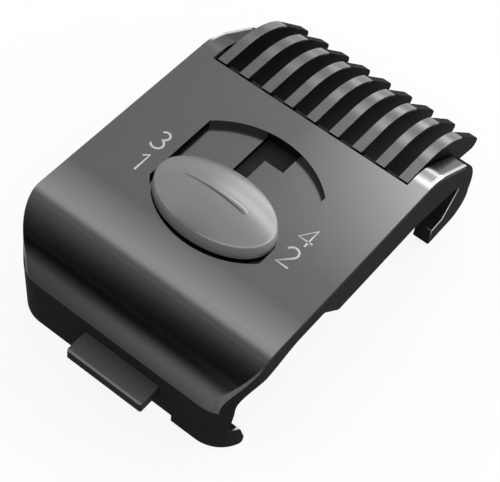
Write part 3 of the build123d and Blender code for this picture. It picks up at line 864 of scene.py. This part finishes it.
for digit, (strokes, place) in numbers.items():
    curve = stroke_curve(f"stroke_{digit}", strokes, place)
    source = bpy.data.objects.new(f"stroke_{digit}", curve)
    bpy.context.collection.objects.link(source)
    sweep = source.modifiers.new("Nib", "NODES")
    sweep.node_group = nib
    sweep[nib_inputs["Width"]] = nib_width
    sweep[nib_inputs["Depth"]] = digit_depth
    sweep[nib_inputs["Finish"]] = digit_paint
    printed = source.evaluated_get(bpy.context.evaluated_depsgraph_get())
    mesh = bpy.data.meshes.new_from_object(printed)
    bpy.data.objects.remove(source)
    number = bpy.data.objects.new(f"number_{digit}", mesh)
    bpy.context.collection.objects.link(number)
    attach(number, "guard")
    print("number", digit, "faces:", len(mesh.polygons))

# %% [markdown]
# ## Hidden works
# The slider plate, its runners, the detents, the springs and the screws show only from
# below and through the slot. Their solids are right as they are and only need a finish.

# %% Hidden works
hidden_finishes = {
    "slider_plate": slider_plastic,
    "knob_stem": slider_plastic,
    "runner_left": chassis_plastic,
    "runner_right": chassis_plastic,
    "detent_rack_left": chassis_plastic,
    "detent_rack_right": chassis_plastic,
    "detent_spring_left": steel,
    "detent_spring_right": steel,
    "bridge_screws": steel,
}
for node, material in hidden_finishes.items():
    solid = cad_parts[node]
    solid.data.materials.clear()
    solid.data.materials.append(material)

# The knob's spring stands on the slider and is squeezed when the knob goes down
spring = add_piece("button_spring_coils", merged_copy("button_spring"), steel)
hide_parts("button_spring")
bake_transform(spring)
print("hidden solids:", len(hidden_finishes), "| spring faces:", len(spring.data.polygons))

# %% [markdown]
# ## Table
# The guard stands on a pale table. Its own colour takes the shadow, and a share of plain
# white, which only the camera and mirrors see, makes it look white without more light.

# %% Table
table_tone = grey(0.86)
white_share = 0.88
table_size = 8.0
table_drop = 0.05 * MM


def white_table():
    """A pale table that looks white, also in metal, and still shows a soft shadow."""
    material, start = bare_material("pale_table")
    table = start.node("ShaderNodeBsdfDiffuse", {}, {"Color": (*table_tone, 1)})
    bright = start.node("ShaderNodeEmission", {}, {"Color": (*grey(1.0), 1), "Strength": 1.0})
    seen, mirrored, through = (
        start.node("ShaderNodeLightPath", output=f"Is {kind} Ray")
        for kind in ("Camera", "Glossy", "Transmission")
    )
    share = (seen + mirrored + through) * white_share
    mixed = start.node("ShaderNodeMixShader", {}, {0: share, 1: table, 2: bright})
    start.node("ShaderNodeOutputMaterial", {}, {"Surface": mixed})
    return material


def flat_sheet(name, corners, material):
    """A level sheet with four corners."""
    mesh = bpy.data.meshes.new(name)
    mesh.from_pydata(corners, [], [(0, 1, 2, 3)])
    sheet = bpy.data.objects.new(name, mesh)
    sheet.data.materials.append(material)
    bpy.context.collection.objects.link(sheet)
    return sheet


half = table_size / 2
table_corners = [(-half, -half, 0), (half, -half, 0), (half, half, 0), (-half, half, 0)]
table = flat_sheet("table", table_corners, white_table())
table.location.z = cad_box[0][2] - table_drop
print("table:", table_size, "m wide")

# %% [markdown]
# ## Dark card
# A studio puts a black card where a rounded metal edge mirrors it, because a dark core
# gives the roll its form. A dark patch in the cover's colour would stay in place when the
# guard turns, so a card is used here too. It lies on the table behind the guard, fades in
# with distance and shows only in mirrors: it darkens no soft light and casts no shadow.

# %% Dark card
card_length = 3800 * MM
card_near = cad_box[0][1] + 1 * MM
card_far = card_near - card_length
card_drop = 0.04 * MM
# Share of black by distance from the guard, in millimetres
card_left = ((0, 0.60), (14, 0.52), (26, 0.66), (36, 0.78), (50, 0.88), (78, 0.97), (160, 1.0))
card_right = ((0, 0.35), (14, 0.04), (26, 0.12), (36, 0.36), (50, 0.70), (78, 0.92), (160, 1.0))


def grey_ramp(signal, stops):
    """Greys that follow a signal from 0 to 1, through (place, level) stops."""
    greys = [(place, grey(level)) for place, level in stops]
    return signal.node("ShaderNodeValToRGB", {"stops": greys}, {"Fac": signal})


def dark_card():
    """A clear card whose black fades in with distance from the guard."""
    material, start = bare_material("dark_card")
    place = start.node("ShaderNodeTexCoord", output="Object")
    across, along, _ = parts_of(place)
    longest = card_left[-1][0]
    reach = (card_near - along) * (1 / (longest * MM))
    left, right = (
        grey_ramp(reach, [(away / longest, share) for away, share in stops])
        for stops in (card_left, card_right)
    )
    share = slope(across, cad_box[0][0], cad_box[1][0]).mix(left, right)
    clear = start.node("ShaderNodeBsdfTransparent")
    black = start.node("ShaderNodeBsdfDiffuse", {}, {"Color": (*grey(0.0), 1)})
    mixed = start.node("ShaderNodeMixShader", {}, {0: share, 1: clear, 2: black})
    start.node("ShaderNodeOutputMaterial", {}, {"Surface": mixed})
    return material


# The card fans out to the left, where the roll's dark core mirrors it
card_z = cad_box[0][2] - card_drop
far_left, far_right = -0.95 * card_length, -0.20 * card_length
near_left, near_right = 1.4 * cad_box[0][0], cad_box[1][0]
card_corners = [
    (far_left, card_far, card_z), (far_right, card_far, card_z),
    (near_right, card_near, card_z), (near_left, card_near, card_z),
]
card = flat_sheet("dark_card", card_corners, dark_card())
card.visible_camera = False
card.visible_diffuse = False
card.visible_shadow = False
print("card:", card_length, "m long, from y", round(card_near / MM, 1), "mm")

# %% [markdown]
# ## Room light
# Satin metal shows little of its own colour: what gives it form is what it mirrors. Lamps
# would leave hard spots on it, so the world alone lights the guard. Its brightness is a
# band that runs from the horizon beyond the teeth, over the top, to the horizon behind the
# camera: bright beyond the teeth, even overhead, and dark at the end. On the right it has a
# soft window at the height that the rolled ears mirror.

# %% The room's brightness
# Brightness by angle, in degrees up from the horizon beyond the teeth and over the top
left_band = (
    (-180, 0.9), (-2, 0.9), (0, 0.95), (100, 0.95), (110, 0.90), (122, 0.82), (132, 0.60),
    (144, 0.34), (156, 0.14), (168, 0.04), (180, 0.01),
)
right_band = (
    (-180, 0.9), (-2, 0.9), (0, 5.0), (6, 5.0), (12, 1.5), (24, 1.4), (32, 2.4), (37, 5.0),
    (43, 4.4), (49, 1.6), (56, 1.05), (64, 0.95), (98, 0.95), (108, 0.85), (122, 0.72),
    (132, 0.50), (144, 0.14), (152, 0.03), (160, 0.01), (180, 0.01),
)
# The ramps hold the levels as shares of this peak
band_peak = 8.0
# Where the left band gives way to the right one, by how far a direction points right
left_edge, right_edge = -0.40, -0.20
# The dark end of the room is a flag only this wide; beside it the room stays pale
flag_left, flag_right, flag_fade = -0.46, -0.13, 0.12
pale_band = ((-180, 0.0), (104, 0.0), (150, 0.80), (180, 0.80))
print("band stops:", len(left_band), "on the left and", len(right_band), "on the right")


# %% Room light
def by_angle(turn, band, peak=1.0):
    """A ramp over a whole turn, from stops in degrees, with levels as shares of a peak."""
    return grey_ramp(turn, [((angle + 180) / 360, level / peak) for angle, level in band])


def room_light():
    """The world's light, from the direction alone."""
    world = bpy.data.worlds.new("studio")
    world.use_nodes = True
    tree = world.node_tree
    tree.nodes.clear()
    start = Signal(tree)
    way = start.node("ShaderNodeTexCoord", output="Generated")
    across, along, up = parts_of(way)
    turn = start.maths("ARCTAN2", up, along) * (1 / (2 * pi)) + 0.5
    left, right = (by_angle(turn, band, band_peak) for band in (left_band, right_band))
    side = start.node(
        "ShaderNodeMapRange", {"interpolation_type": "SMOOTHSTEP"},
        {"Value": across, "From Min": left_edge, "From Max": right_edge},
    )
    pale = by_angle(turn, pale_band)
    in_flag = slope(across, flag_left - flag_fade, flag_left) * slope(
        across, flag_right + flag_fade, flag_right
    )
    level = side.mix(left, right) * band_peak + pale * (1 - in_flag)
    room = start.node("ShaderNodeBackground", {}, {"Color": (*grey(1.0), 1), "Strength": level})
    start.node("ShaderNodeOutputWorld", {}, {"Surface": room})
    return world


bpy.context.scene.world = room_light()
bpy.context.scene.view_settings.view_transform = "Standard"
print("world:", bpy.context.scene.world.name)
